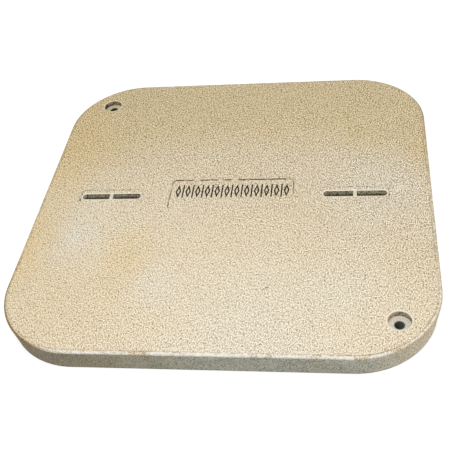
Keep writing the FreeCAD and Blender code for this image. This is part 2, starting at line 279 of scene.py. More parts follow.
def wire_stains(wiring: Wiring, given: dict[str, Socket]) -> dict[str, Socket]:
    """Make the streaked stains and the fainter clouds that lie over the casting."""
    turned = wiring.node(
        "Mapping", {"Vector": given["Place"], "Rotation": given["Turn"], "Scale": given["Stretch"]}
    ).outputs["Vector"]
    streak = wiring.smooth(wiring.noise(turned, given["Scale"], 4.0, 0.6), 0.36, 0.66)
    cloud = wiring.smooth(wiring.noise(given["Place"], wiring.math("MULTIPLY", given["Scale"], 1.7), 3.0), 0.3, 0.7)
    return {"Streak": streak, "Cloud": cloud}


def wire_spot(wiring: Wiring, given: dict[str, Socket]) -> dict[str, Socket]:
    """Make a ragged spot about one point."""
    away = wiring.vector("MULTIPLY", wiring.vector("SUBTRACT", given["Place"], given["Centre"]), given["Squeeze"])
    distance = wiring.node("VectorMath", {0: away}, operation="LENGTH").outputs["Value"]
    ragged = wiring.noise(given["Place"], given["Ragged"], 3.0)
    reach = wiring.math("MULTIPLY", given["Radius"], wiring.scale(ragged, 0.4, 1.6))
    core = wiring.math("MULTIPLY", reach, given["Core"])
    return {"Mask": wiring.math("SUBTRACT", 1.0, wiring.smooth(distance, core, reach))}


def wire_dirt_and_shade_line(wiring: Wiring, given: dict[str, Socket]) -> dict[str, Socket]:
    """Make a broken line of painted shade, with some dirt, along a rounded outline, with its own strength on each of
    the four sides.
    """
    away = wiring.vector("SUBTRACT", given["Place"], given["Centre"])
    inside = wire_rim(wiring, {"Place": away, "Straight": given["Straight"], "Radius": given["Radius"]})["Inside"]
    off = wiring.math("ABSOLUTE", wiring.math("SUBTRACT", inside, 0.4 * MM))
    line = wiring.math("SUBTRACT", 1.0, wiring.smooth(off, wiring.math("MULTIPLY", given["Width"], 0.4), given["Width"]))
    split = wiring.node("SeparateXYZ", {"Vector": away}).outputs
    straight = wiring.node("SeparateXYZ", {"Vector": given["Straight"]}).outputs["X"]
    at_end = wiring.smooth(wiring.math("SUBTRACT", wiring.math("ABSOLUTE", split["X"]), straight), 0.0, 5 * MM)

    def between(first: Socket, last: Socket, share: Socket) -> Socket:
        """Blend two values."""
        return wiring.math("MULTIPLY_ADD", wiring.math("SUBTRACT", last, first), share, first)

    edges = between(given["Near"], given["Far"], wiring.smooth(split["Y"], -MM, MM))
    ends = between(given["Left"], given["Right"], wiring.smooth(split["X"], -MM, MM))
    broken = wiring.smooth(wiring.noise(given["Place"], 70.0, 2.0), 0.36, 0.56)
    strength = wiring.math("MULTIPLY", between(edges, ends, at_end), broken)
    return {"Mask": wiring.math("MULTIPLY", line, strength)}


@dataclass
class Effects:
    """The shared effects, each built once."""

    def __post_init__(self) -> None:
        """Build the groups."""
        place = Port("Place", "Vector")
        self.rim = SharedEffect(
            "rim_distance", [place, Port("Straight", "Vector"), Port("Radius")], [Port("Inside")], wire_rim
        )
        self.grain = SharedEffect(
            "cast_grain",
            [place, Port("Pebble", value=4 * MM), Port("Sand", value=1.5 * MM), Port("Sand Share", value=0.5)],
            [Port("Height"), Port("Lump"), Port("Sand"), Port("Pore")],
            wire_grain,
        )
        self.stains = SharedEffect(
            "streaked_stains",
            [place, Port("Scale", value=6.0), Port("Turn", "Vector"), Port("Stretch", "Vector", (1.0, 1.0, 1.0))],
            [Port("Streak"), Port("Cloud")],
            wire_stains,
        )
        self.spot = SharedEffect(
            "ragged_spot",
            [
                place,
                Port("Centre", "Vector"),
                Port("Squeeze", "Vector", (1.0, 1.0, 1.0)),
                Port("Radius"),
                Port("Ragged", value=700.0),
                Port("Core", value=0.5),
            ],
            [Port("Mask")],
            wire_spot,
        )
        self.pebbles = SharedEffect(
            "mould_pebbles",
            [place, Port("Pebble", value=1.8 * MM), Port("Sand", value=0.9 * MM), Port("Sand Share", value=0.5)],
            [Port("Height"), Port("Gap"), Port("Sand"), Port("Pore")],
            wire_pebbles,
        )
        sides = [Port(name) for name in ("Radius", "Width", "Left", "Right", "Near", "Far")]
        # Painted shade, with some dirt, along the foot of a sunk outline.
        self.dirt_line = SharedEffect(
            "dirt_line",
            [place, Port("Centre", "Vector"), Port("Straight", "Vector"), *sides],
            [Port("Mask")],
            wire_dirt_and_shade_line,
        )


@dataclass(frozen=True)
class Outline:
    """A rounded rectangle, a round-ended slot or a circle, seen from above.

    Attributes:
        centre: Its middle.
        straight: Half the length of its straight stretches, along X and along Y.
        radius: The radius of its round stretches.
    """

    centre: tuple[float, float]
    straight: tuple[float, float]
    radius: float

    def reach(self, point: Vector) -> float:
        """Give a point's distance from the straight-sided core of the outline."""
        return math.hypot(*self.beyond(point))

    def beyond(self, point: Vector) -> tuple[float, float]:
        """Give how far a point lies past the core, along X and along Y."""
        return (
            max(abs(point.x - self.centre[0]) - self.straight[0], 0.0),
            max(abs(point.y - self.centre[1]) - self.straight[1], 0.0),
        )

    def inside(self, point: Vector) -> float:
        """Give how far inside the outline a point lies, less than nothing outside it."""
        return self.radius - self.reach(point)

    def pull(self, point: Vector, reach: float) -> Vector:
        """Move a point, on a round stretch, to another distance from the core."""
        past = self.beyond(point)
        scale = reach / math.hypot(*past)
        moved = point.copy()
        for axis in (0, 1):
            if past[axis] > 0.0:
                way = math.copysign(past[axis], point[axis] - self.centre[axis])
                moved[axis] += way * (scale - 1.0)
        return moved

    def mask_inputs(self, place: Socket, wiring: Wiring) -> dict:
        """Give what the rim effect needs to measure this outline."""
        shifted = wiring.vector("SUBTRACT", place, (*self.centre, 0.0))
        return {"Place": shifted, "Straight": (*self.straight, 0.0), "Radius": self.radius}


@dataclass
class CoverShape:
    """The casting's sizes, in metres, and the outlines that they give."""

    cover_side: float = 647.7 * MM
    corner_radius: float = 124 * MM
    border_width: float = 6 * MM
    field_rise: float = 0.5 * MM
    edge_round: float = 2.5 * MM
    side_draft: float = math.radians(6.3)
    foot_bevel: float = 2 * MM
    bolt_inset: float = 63.5 * MM
    bolt_offset: float = 2.2 * MM
    bolt_shift: float = 2.1 * MM
    bore_radius: float = 6.5 * MM
    counterbore_radius: float = 16.65 * MM
    counterbore_depth: float = 10.5 * MM
    slot_length: float = 101.6 * MM
    slot_width: float = 12.7 * MM
    slot_edge_gap: float = 69.85 * MM
    slot_shift: float = 2.1 * MM
    surround_length: float = 108 * MM
    surround_height: float = 31 * MM
    surround_radius: float = 7 * MM
    mouth_bevel: float = 0.8 * MM
    panel_length: float = 206 * MM
    panel_height: float = 69.85 * MM
    panel_radius: float = 8 * MM
    panel_depth: float = 0.8 * MM
    panel_offset: float = 1.2 * MM
    panel_shift: float = 4.9 * MM
    mark_depth: float = 1.2 * MM

    def __post_init__(self) -> None:
        """Work out the outlines and the levels."""
        self.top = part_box(NODE)[1].z
        self.border_top = self.top - self.field_rise
        self.round_foot = self.border_top - self.edge_round * (1.0 + math.sin(self.side_draft))
        corner = self.cover_side / 2 - self.corner_radius
        self.field = Outline((0.0, 0.0), (corner, corner), self.corner_radius - self.border_width)
        middle = (self.panel_offset, self.panel_shift)
        self.panel = self.rounded(middle, self.panel_length, self.panel_height, self.panel_radius)
        across = self.cover_side / 2 - self.slot_edge_gap - self.slot_length / 2
        places = [(-across, self.slot_shift), (across, self.slot_shift)]
        self.slots = [self.rounded(at, self.slot_length, self.slot_width, self.slot_width / 2) for at in places]
        surround = (self.surround_length, self.surround_height, self.surround_radius)
        self.surrounds = [self.rounded(at, *surround) for at in places]
        bolt = self.cover_side / 2 - self.bolt_inset
        bolts = [(self.bolt_offset + side * bolt, self.bolt_shift - side * bolt) for side in (1, -1)]
        self.counterbores = [Outline(at, (0.0, 0.0), self.counterbore_radius) for at in bolts]
        self.bores = [Outline(at, (0.0, 0.0), self.bore_radius) for at in bolts]

    @staticmethod
    def rounded(centre: tuple[float, float], length: float, height: float, radius: float) -> Outline:
        """Make an outline from its whole length and height."""
        return Outline(centre, (length / 2 - radius, height / 2 - radius), radius)

    def turning_outlines(self) -> list[Outline]:
        """Give each outline that has round stretches to keep true."""
        return [self.panel, *self.surrounds, *self.slots, *self.counterbores]


@dataclass(frozen=True)
class Knock:
    """A place where the cover is chipped, nicked or rubbed.

    Attributes:
        place: Its middle.
        reach: Its rough radius.
        depth: How deep it goes.
    """

    place: tuple[float, float, float]
    reach: float
    depth: float


@dataclass(frozen=True)
class Spot:
    """A ragged spot of another colour on the top.

    Attributes:
        place: Its middle.
        squeeze: How much shorter it is along each axis.
        radius: Its rough radius.
        shade: Its colour.
        share: How strongly it covers.
        ragged: How fine its ragged outline is, as the scale of a noise.
        core: The share of its radius that is fully covered.
    """

    place: tuple[float, float, float]
    squeeze: tuple[float, float, float]
    radius: float
    shade: Colour
    share: float
    ragged: float = 700.0
    core: float = 0.5


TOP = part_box(NODE)[1].z
NICK = Vector((77 * MM, -200 * MM, TOP))
NICK_TRAIL = [NICK + step * Vector((-2.6 * MM, -1.7 * MM, 0.0)) for step in (1, 2, 3)]
PALE_CHIP = Vector((269.5 * MM, 5 * MM, TOP))
FIELD_KNOCKS = [
    Knock(tuple(NICK), 2.4 * MM, 1.1 * MM),
    *[Knock(tuple(place), 1.3 * MM, 0.35 * MM) for place in NICK_TRAIL],
    Knock(tuple(PALE_CHIP), 3.5 * MM, 0.5 * MM),
]
DARK = colour(58, 50, 38)
PALE = colour(240, 234, 218)
FIELD_SPOTS = [
    Spot(tuple(NICK), (1.0, 1.2, 1.0), 2.6 * MM, DARK, 0.95),
    *[Spot(tuple(place), (1.0, 1.0, 1.0), 1.5 * MM, DARK, 0.5) for place in NICK_TRAIL],
    Spot(tuple(PALE_CHIP), (1.0, 1.0, 1.0), 4.0 * MM, PALE, 0.9),
    Spot((278 * MM, 14 * MM, TOP), (1.0, 1.3, 1.0), 13 * MM, PALE, 0.55, 260.0, 0.1),
    Spot((-41 * MM, -314 * MM, TOP), (0.5, 1.6, 1.0), 7 * MM, PALE, 0.7, 300.0, 0.2),
    Spot((270 * MM, 1 * MM, TOP), (1.0, 0.5, 1.0), 2.0 * MM, DARK, 0.45),
    # Painted shade at the left end of the left slot's sunk surround.
    Spot((-256.3 * MM, -6 * MM, TOP), (1.0, 0.7, 1.0), 2.4 * MM, DARK, 0.85),
    Spot((-259.0 * MM, 1 * MM, TOP), (1.0, 1.0, 1.0), 1.5 * MM, DARK, 0.6),
    Spot((-255.9 * MM, 7 * MM, TOP), (1.0, 0.6, 1.0), 1.7 * MM, DARK, 0.7),
    Spot((-253.5 * MM, 14 * MM, TOP), (0.8, 1.0, 1.0), 1.4 * MM, DARK, 0.5),
]
SANDY = colour(255, 245, 224)
STAINED = colour(249, 234, 197)
BLEACHED = colour(255, 253, 245)
TANNED = colour(252, 229, 182)
BROAD_STAINS = [
    Spot((x * MM, y * MM, TOP), (1.0, squeeze, 0.0), radius * MM, shade, share, 14.0, 0.0)
    for x, y, squeeze, radius, shade, share in (
        (-250, -90, 0.8, 80, BLEACHED, 0.7),
        (-235, 0, 1.3, 60, BLEACHED, 0.5),
        (-90, -205, 0.9, 75, BLEACHED, 0.4),
        (60, -255, 1.2, 190, BLEACHED, 0.45),
        (190, -200, 1.0, 110, BLEACHED, 0.35),
        (240, 10, 0.8, 150, BLEACHED, 0.5),
        (80, -330, 2.6, 240, BLEACHED, 0.45),
        (-150, -135, 0.7, 75, TANNED, 0.5),
        (-345, 130, 0.4, 170, TANNED, 0.75),
        (-318, -120, 0.35, 60, TANNED, 0.5),
        (-240, -240, 0.9, 190, TANNED, 0.25),
    )
]
FRONT_CHIPS = [
    (-180 * MM, 5.0 * MM, 0.9 * MM),
    (-38 * MM, 5.0 * MM, 0.7 * MM),
    (-8 * MM, 4.0 * MM, 0.6 * MM),
    (6 * MM, 6.0 * MM, 0.9 * MM),
    (22 * MM, 5.0 * MM, 0.8 * MM),
    (31 * MM, 3.5 * MM, 0.7 * MM),
    (184 * MM, 3.5 * MM, 0.6 * MM),
    (197 * MM, 6.0 * MM, 1.0 * MM),
]
CRUMB = colour(250, 247, 240)
EDGE_CRUMBS = [
    Spot((x, -322.5 * MM, TOP - 1.5 * MM), (0.8, 1.0, 1.0), 0.9 * reach, CRUMB, 0.85, 500.0, 0.4)
    for x, reach, _ in FRONT_CHIPS
]


class Bench:
    """A piece held open in edit mode, where faces and edges are picked in code.

    Args:
        piece: The mesh object to work on.
    """

    def __init__(self, piece: bpy.types.Object) -> None:
        self.piece = piece
        take(piece)
        bpy.ops.object.mode_set(mode="EDIT")

    def __enter__(self) -> "Bench":
        """Start the work."""
        return self

    def __exit__(self, *_: object) -> None:
        """Leave edit mode."""
        bpy.ops.object.mode_set(mode="OBJECT")

    @property
    def mesh(self) -> bmesh.types.BMesh:
        """Give the mesh as it is now."""
        return bmesh.from_edit_mesh(self.piece.data)

    def update(self) -> None:
        """Hand changes made in code back to the piece."""
        bmesh.update_edit_mesh(self.piece.data)

    def pick(self, kind: str, test: Callable[[bmesh.types.BMEdge | bmesh.types.BMFace], bool]) -> int:
        """Select the faces or edges that pass a test, and nothing else.

        Args:
            kind: EDGE or FACE.
            test: Says of one edge or face whether it is wanted.

        Returns:
            How many were selected.
        """
        bpy.ops.mesh.select_mode(type=kind)
        bpy.ops.mesh.select_all(action="DESELECT")
        mesh = self.mesh
        wanted = [item for item in (mesh.edges if kind == "EDGE" else mesh.faces) if test(item)]
        for item in wanted:
            item.select_set(True)
        self.update()
        return len(wanted)


def take(piece: bpy.types.Object) -> None:
    """Make a piece the only one that is selected, and the active one."""
    bpy.ops.object.select_all(action="DESELECT")
    piece.select_set(True)
    bpy.context.view_layer.objects.active = piece


@dataclass(frozen=True)
class Flat:
    """A level part of the cover that gets new triangles: its height and how far apart its points lie."""

    height: float
    step: float


def within(points: np.ndarray, starts: np.ndarray, ends: np.ndarray) -> np.ndarray:
    """Say which points lie within closed outlines, by counting the edges to the right of each.

    Args:
        points: The points, one row each.
        starts: Where each edge of the outlines starts.
        ends: Where it ends.

    Returns:
        True for each point that lies inside.
    """
    order = np.argsort(points[:, 1])
    heights = points[order, 1]
    crossings = np.zeros(len(points), int)
    for start, end in zip(starts, ends):
        first, last = np.searchsorted(heights, sorted((start[1], end[1])))
        rows = order[first:last]
        if len(rows):
            slope = (end[0] - start[0]) / (end[1] - start[1])
            crossings[rows] += start[0] + (points[rows, 1] - start[1]) * slope > points[rows, 0]
    return crossings % 2 == 1


def lies_at(item: bmesh.types.BMFace | bmesh.types.BMEdge, height: float) -> bool:
    """Say whether all corners of a face or edge lie at a level."""
    return all(abs(vertex.co.z - height) < 0.01 * MM for vertex in item.verts)


@dataclass
class CoverSlab:
    """The cast cover: a finely divided copy of the casting, weathered and dressed."""

    shape: CoverShape
    grain_step: float = 2.7 * MM
    rim_step: float = 3.3 * MM
    under_step: float = 12 * MM
    side_rows: int = 10
    pebble_relief: float = 0.35 * MM
    side_relief: float = 0.5 * MM
    fade: float = 4 * MM
    seed: int = 7

    def build(self, finishes: list[bpy.types.Material]) -> bpy.types.Object:
        """Make the weathered slab.

        Args:
            finishes: One material for each kind of surface, in order.

        Returns:
            The finished piece.
        """
        slab = self.copy_casting(finishes)
        with Bench(slab) as bench:
            self.sort_surfaces(bench)
            flats = self.open_flats(bench)
            self.halve_long_edges(bench)
            self.bridge_side(bench)
            for flat in flats:
                self.refill(bench, flat)
            bpy.ops.mesh.select_all(action="SELECT")
            bpy.ops.mesh.dissolve_degenerate(threshold=MICRON)
            bpy.ops.mesh.normals_make_consistent(inside=False)
        self.roughen(slab)
        self.knock(slab)
        take(slab)
        bpy.ops.object.shade_smooth_by_angle(angle=math.radians(38))
        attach(slab, "root")
        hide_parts(NODE)
        return slab

    def copy_casting(self, finishes: list[bpy.types.Material]) -> bpy.types.Object:
        """Copy the casting's mesh into a new object and merge its loose triangles."""
        casting = bpy.data.objects[NODE]
        slab = bpy.data.objects.new("weathered_slab", casting.data.copy())
        slab.data.name = "weathered_slab"
        bpy.context.collection.objects.link(slab)
        slab.data.materials.clear()
        for finish in finishes:
            slab.data.materials.append(finish)
        take(slab)
        bpy.ops.mesh.customdata_custom_splitnormals_clear()
        with Bench(slab):
            bpy.ops.mesh.select_all(action="SELECT")
            bpy.ops.mesh.remove_doubles(threshold=1e-6)
        return slab

    def sort_surfaces(self, bench: Bench) -> None:
        """Give each face of the casting its kind of surface."""
        mesh = bench.mesh
        for face in mesh.faces:
            face.material_index = self.surface_at(face.calc_center_median(), face.normal)
        bench.update()

    def surface_at(self, middle: Vector, normal: Vector) -> Surface:
        """Say what kind of surface a face is part of.

        Args:
            middle: The face's middle.
            normal: The way that it faces.

        Returns:
            The kind of surface.
        """
        shape = self.shape
        if shape.field.inside(middle) < 0.05 * MM:
            if middle.z < shape.round_foot:
                return Surface.UNDERSIDE if normal.z < -0.99 else Surface.SIDE
            return Surface.BORDER
        if normal.z < -0.99 and middle.z < MM:
            return Surface.UNDERSIDE
        if shape.panel.inside(middle) > MM and middle.z < shape.top - shape.panel_depth - 0.1 * MM:
            return Surface.PAINT
        if middle.z > shape.border_top - shape.mouth_bevel - 0.1 * MM:
            return Surface.FIELD
        seat_height = shape.top - shape.counterbore_depth
        if normal.z > 0.99 and abs(middle.z - seat_height) < 0.1 * MM:
            return Surface.SEAT
        if any(hole.inside(middle) > -MM for hole in shape.counterbores):
            return Surface.HOLE
        return Surface.WALL

    def open_flats(self, bench: Bench) -> list[Flat]:
        """Take out the wide flat faces and the side wall, and say what is to be refilled."""
        shape = self.shape
        flats = [
            Flat(shape.top, self.grain_step),
            Flat(shape.border_top, self.grain_step),
            Flat(shape.top - shape.panel_depth, self.grain_step),
            Flat(0.0, self.under_step),
        ]
        bench.pick("FACE", lambda face: self.is_side(face) or any(lies_at(face, flat.height) for flat in flats))
        bpy.ops.mesh.delete(type="FACE")
        bpy.ops.mesh.select_all(action="SELECT")
        bpy.ops.mesh.tris_convert_to_quads(face_threshold=math.radians(3), shape_threshold=math.pi)
        return flats

    def is_side(self, face: bmesh.types.BMFace) -> bool:
        """Say whether a face is part of the tall drafted side."""
        upright = abs(face.normal.z) < 0.3 and self.shape.field.inside(face.calc_center_median()) < 0.0
        return upright and face.material_index == Surface.SIDE

    def halve_long_edges(self, bench: Bench) -> None:
        """Halve each long level edge until none is long, and keep the rounds true."""
        rings = self.read_rings(bench)
        while bench.pick("EDGE", self.is_long_level_edge):
            bpy.ops.mesh.subdivide(number_cuts=1, smoothness=0.0)
            self.true_rounds(bench, rings)

    def is_long_level_edge(self, edge: bmesh.types.BMEdge) -> bool:
        """Say whether an edge runs level and is too long."""
        first, last = edge.verts
        return abs(first.co.z - last.co.z) < 0.001 * MM and edge.calc_length() > self.rim_step

    def read_rings(self, bench: Bench) -> dict[Outline, dict[int, set[float]]]:
        """List the distances from the core at which each outline has points, level by level."""
        rings: dict[Outline, dict[int, set[float]]] = {}
        for outline, reach, vertex in self.round_points(bench):
            levels = rings.setdefault(outline, {})
            levels.setdefault(round(vertex.co.z / MICRON), set()).add(round(reach, 7))
        return rings

    def round_points(self, bench: Bench) -> Iterable[tuple[Outline, float, bmesh.types.BMVert]]:
        """Go through the points that lie on a round stretch of an outline."""
        shape = self.shape
        for vertex in bench.mesh.verts:
            if shape.field.inside(vertex.co) < shape.foot_bevel:
                if min(shape.field.beyond(vertex.co)) > 0.0:
                    yield shape.field, shape.field.reach(vertex.co), vertex
                continue
            for outline in shape.turning_outlines():
                past = outline.beyond(vertex.co)
                if min(past) > 0.0 and math.hypot(*past) < outline.radius + MM:
                    yield outline, math.hypot(*past), vertex
                    break

    def true_rounds(self, bench: Bench, rings: dict[Outline, dict[int, set[float]]]) -> None:
        """Move each new point of a round out to the radius that the round has."""
        for outline, reach, vertex in self.round_points(bench):
            known = rings.get(outline, {}).get(round(vertex.co.z / MICRON), ())
            nearest = min(known, key=lambda ring: abs(ring - reach), default=reach)
            if 1e-8 < abs(nearest - reach) < 0.4 * MM:
                vertex.co = outline.pull(vertex.co, nearest)
        bench.update()

    def bridge_side(self, bench: Bench) -> None:
        """Close the tall side again, in even rows."""
        levels = (self.shape.foot_bevel, self.shape.round_foot)

        def is_open_ring(edge: bmesh.types.BMEdge) -> bool:
            """Say whether an edge is on one of the two open rings."""
            height = (edge.verts[0].co.z + edge.verts[1].co.z) / 2
            return edge.is_boundary and any(abs(height - level) < 0.3 * MM for level in levels)

        bench.pick("EDGE", is_open_ring)
        bpy.ops.mesh.bridge_edge_loops(number_cuts=self.side_rows, interpolation="LINEAR")
        for face in bench.mesh.faces:
            if face.select:
                face.material_index = Surface.SIDE
        bench.update()

    def refill(self, bench: Bench, flat: Flat) -> None:
        """Fill an opened flat with even triangles, fine where the cover is knocked.

        Args:
            bench: The slab, open in edit mode.
            flat: The flat's height and step.
        """
        mesh = bench.mesh
        rim = [edge for edge in mesh.edges if edge.is_boundary and lies_at(edge, flat.height)]
        corners = sorted({vertex for edge in rim for vertex in edge.verts}, key=lambda vertex: tuple(vertex.co))
        order = {vertex: place for place, vertex in enumerate(corners)}
        edges = [(order[edge.verts[0]], order[edge.verts[1]]) for edge in rim]
        known = np.array([vertex.co[:2] for vertex in corners]) / MM
        sides = known[[start for start, _ in edges]], known[[end for _, end in edges]]
        tree = kdtree.KDTree(len(corners))
        for vertex, place in order.items():
            tree.insert(vertex.co, place)
        tree.balance()
        points = [point for point in self.scatter(flat) if tree.find(point)[2] > 0.6 * flat.step]
        spots = np.array([point[:2] for point in points]) / MM
        inner = within(spots, *sides)
        made = [mesh.verts.new(point) for point, kept in zip(points, inner) if kept]
        places = [Vector(place) for place in (*known, *spots[inner])]
        found, _, faces, origins, _, _ = delaunay_2d_cdt(places, edges, [], 0, 1e-5)
        middles = np.array([sum((found[place] for place in face), Vector((0.0, 0.0))) / 3 for face in faces])
        given = [*corners, *made]
        vertices = [given[origin[0]] for origin in origins]
        up = Vector((0.0, 0.0, 1.0 if flat.height else -1.0))
        for face, middle, kept in zip(faces, middles, within(middles, *sides)):
            if kept:
                new = mesh.faces.new([vertices[place] for place in face])
                new.material_index = self.surface_at(Vector((*middle * MM, flat.height)), up)
        bench.update()

    def scatter(self, flat: Flat) -> Iterable[Vector]:
        """Spread points over a flat in a shaken triangular pattern.

        Args:
            flat: The flat to cover.

        Yields:
            The points, also those outside the flat.
        """
        draw = np.random.default_rng(self.seed)
        half = self.shape.cover_side / 2
        fine = [knock for knock in FIELD_KNOCKS if flat.height == self.shape.top]
        for row, y in enumerate(np.arange(-half, half, flat.step * 0.866)):
            for x in np.arange(-half + row % 2 * flat.step / 2, half, flat.step):
                shake = draw.uniform(-0.2, 0.2, 2) * flat.step
                point = Vector((x + shake[0], y + shake[1], flat.height))
                if not any(math.dist(point[:2], knock.place[:2]) < knock.reach + flat.step for knock in fine):
                    yield point
        for knock in fine:
            count = round((knock.reach + flat.step) / FINE_STEP)
            for row in range(-count, count + 1):
                for place in range(-count, count + 1):
                    x = knock.place[0] + (place + row % 2 / 2) * FINE_STEP
                    y = knock.place[1] + row * 0.866 * FINE_STEP
                    if math.dist((x, y), knock.place[:2]) < knock.reach + 0.5 * flat.step:
                        yield Vector((x, y, flat.height))

    def roughen(self, slab: bpy.types.Object) -> None:
        """Raise the pebbled relief of the top and the faint waves of the side."""
        pebbled = slab.vertex_groups.new(name="pebbled")
        uneven = slab.vertex_groups.new(name="uneven")
        for vertex in slab.data.vertices:
            top, side = self.roughness_at(vertex.co)
            if top > 0.0:
                pebbled.add([vertex.index], top, "REPLACE")
            if side > 0.0:
                uneven.add([vertex.index], side, "REPLACE")
        lumps = bpy.data.textures.new("lumps", "STUCCI")
        lumps.noise_scale = 4.6 * MM
        lumps.turbulence = 5.0
        waves = bpy.data.textures.new("waves", "CLOUDS")
        waves.noise_scale = 28 * MM
        self.displace(slab, "pebbled", lumps, self.pebble_relief, "Z")
        self.displace(slab, "uneven", waves, self.side_relief, "NORMAL")

    def roughness_at(self, point: Vector) -> tuple[float, float]:
        """Say how far a point takes part in the top's relief and in the side's.

        Args:
            point: A point of the slab.

        Returns:
            The two shares, from 0 to 1.
        """
        shape = self.shape
        if shape.field.inside(point) < 0.0:
            room = min(point.z - shape.foot_bevel, shape.round_foot + MM - point.z)
            return 0.0, min(max(room / self.fade, 0.0), 1.0)
        if point.z < shape.border_top - shape.panel_depth:
            return 0.0, 0.0
        if abs(point.z - shape.top) < 0.01 * MM:
            others = [shape.panel, *shape.surrounds, *shape.counterbores]
            room = min(shape.field.inside(point), *(-outline.inside(point) for outline in others))
            return min(max(room / self.fade, 0.0), 1.0), 0.0
        return 0.0, 0.0

    def displace(
        self, slab: bpy.types.Object, group: str, texture: bpy.types.Texture, depth: float, way: str
    ) -> None:
        """Press a texture into the slab, inwards only, and apply it.

        Args:
            slab: The piece.
            group: The name of the group of points that take part.
            texture: The pattern.
            depth: How deep the pattern goes.
            way: Z or NORMAL.
        """
        modifier = slab.modifiers.new(texture.name, "DISPLACE")
        modifier.texture = texture
        modifier.texture_coords = "LOCAL"
        modifier.vertex_group = group
        modifier.direction = way
        modifier.strength = depth
        modifier.mid_level = 1.0
        take(slab)
        bpy.ops.object.modifier_apply(modifier=modifier.name)
        slab.vertex_groups.remove(slab.vertex_groups[group])

    def knock(self, slab: bpy.types.Object) -> None:
        """Press the chips and nicks into the mesh."""
        knocks = [*FIELD_KNOCKS, *self.edge_knocks()]
        tree = kdtree.KDTree(len(slab.data.vertices))
        for vertex in slab.data.vertices:
            tree.insert(vertex.co, vertex.index)
        tree.balance()
        pressed: dict[int, Vector] = {}
        for knock in knocks:
            for _, index, distance in tree.find_range(Vector(knock.place), knock.reach * 1.5):
                vertex = slab.data.vertices[index]
                ragged = 1.0 + 0.5 * noise.noise(vertex.co * 400.0)
                share = 1.0 - distance / (knock.reach * ragged)
                if share > 0.0:
                    start = pressed.get(index, vertex.co.copy())
                    pressed[index] = start - vertex.normal * knock.depth * min(share * 2.0, 1.0)
        for index, place in pressed.items():
            slab.data.vertices[index].co = place

    def edge_knocks(self) -> list[Knock]:
        """Place the chips of the top edge: those in view, and a few all round it."""
        draw = np.random.default_rng(self.seed)
        shape = self.shape
        half = shape.cover_side / 2
        straight = shape.field.straight[0]
        knocks = [
            Knock((x, -half + draw.uniform(0.5, 3.0) * MM, shape.border_top), reach, depth)
            for x, reach, depth in FRONT_CHIPS
        ]
        for turn in range(1, 4):
            for _ in range(7):
                along = draw.uniform(-straight, straight)
                place = Vector((along, -half + 1.5 * MM, shape.border_top))
                place.rotate(Euler((0.0, 0.0, turn * math.pi / 2)))
                knocks.append(Knock(tuple(place), draw.uniform(2.0, 5.0) * MM, draw.uniform(0.3, 0.8) * MM))
        return knocks


@dataclass(frozen=True)
class Look:
    """What a finish puts on its shader."""

    colour: Socket
    roughness: Socket
    height: Socket
    relief: float
    gloss: float = 0.25


def new_material(name: str) -> tuple[bpy.types.Material, Wiring, bpy.types.Node]:
    """Start a material.

    Args:
        name: The material's name.

    Returns:
        The material, its wiring and its shader.
    """
    material = bpy.data.materials.new(name)
    material.use_nodes = True
    tree = material.node_tree
    shader = tree.nodes["Principled BSDF"]
    return material, Wiring(tree), shader


def dress(wiring: Wiring, shader: bpy.types.Node, look: Look) -> None:
    """Join a finish's colour, roughness and relief to its shader."""
    wiring.tree.links.new(look.colour, shader.inputs["Base Color"])
    wiring.tree.links.new(look.roughness, shader.inputs["Roughness"])
    bump = wiring.node("Bump", {"Height": look.height, "Distance": look.relief, "Strength": 1.0})
    wiring.tree.links.new(bump.outputs["Normal"], shader.inputs["Normal"])
    shader.inputs["Specular IOR Level"].default_value = look.gloss


def spotted(
    wiring: Wiring, effects: Effects, place: Socket, tone: Socket, spots: Iterable[Spot]
) -> Socket:
    """Lay ragged spots over a colour.

    Args:
        wiring: The material's tree.
        effects: The shared effects.
        place: The point that is coloured.
        tone: The colour so far.
        spots: The spots.

    Returns:
        The colour with its spots.
    """
    for spot in spots:
        mask = effects.spot.place(
            wiring,
            Place=place,
            Centre=spot.place,
            Squeeze=spot.squeeze,
            Radius=spot.radius,
            Ragged=spot.ragged,
            Core=spot.core,
        ).outputs["Mask"]
        tone = wiring.mix(wiring.math("MULTIPLY", mask, spot.share), tone, spot.shade)
    return tone


def stained(wiring: Wiring, effects: Effects, place: Socket) -> Socket:
    """Colour the top's broad stains: a tanned far end and left edge, bleached patches and diagonal streaks.

    Args:
        wiring: The material's tree.
        effects: The shared effects.
        place: The point that is coloured.

    Returns:
        The colour.
    """
    stains = effects.stains.place(
        wiring, Place=place, Scale=9.0, Turn=(0.0, 0.0, math.radians(-40)), Stretch=(0.45, 1.0, 1.0)
    ).outputs
    split = wiring.node("SeparateXYZ", {"Vector": place}).outputs
    bend = wiring.math("MULTIPLY_ADD", wiring.math("MULTIPLY", split["X"], split["X"]), 0.9, split["Y"])
    waver = wiring.math("MULTIPLY_ADD", wiring.noise(place, 9.0, 3.0), 0.09, bend)
    far_end = wiring.smooth(waver, 0.14, 0.26)
    amount = wiring.math("MULTIPLY_ADD", far_end, 0.9, wiring.math("MULTIPLY", stains["Streak"], 0.15), clamp=True)
    return spotted(wiring, effects, place, wiring.mix(amount, SANDY, STAINED), BROAD_STAINS)


@dataclass(frozen=True)
class DirtAndShadeLine:
    """How strongly painted shade, with some dirt, marks each side of a sunk outline."""

    outline: Outline
    left: float
    right: float
    near: float
    far: float


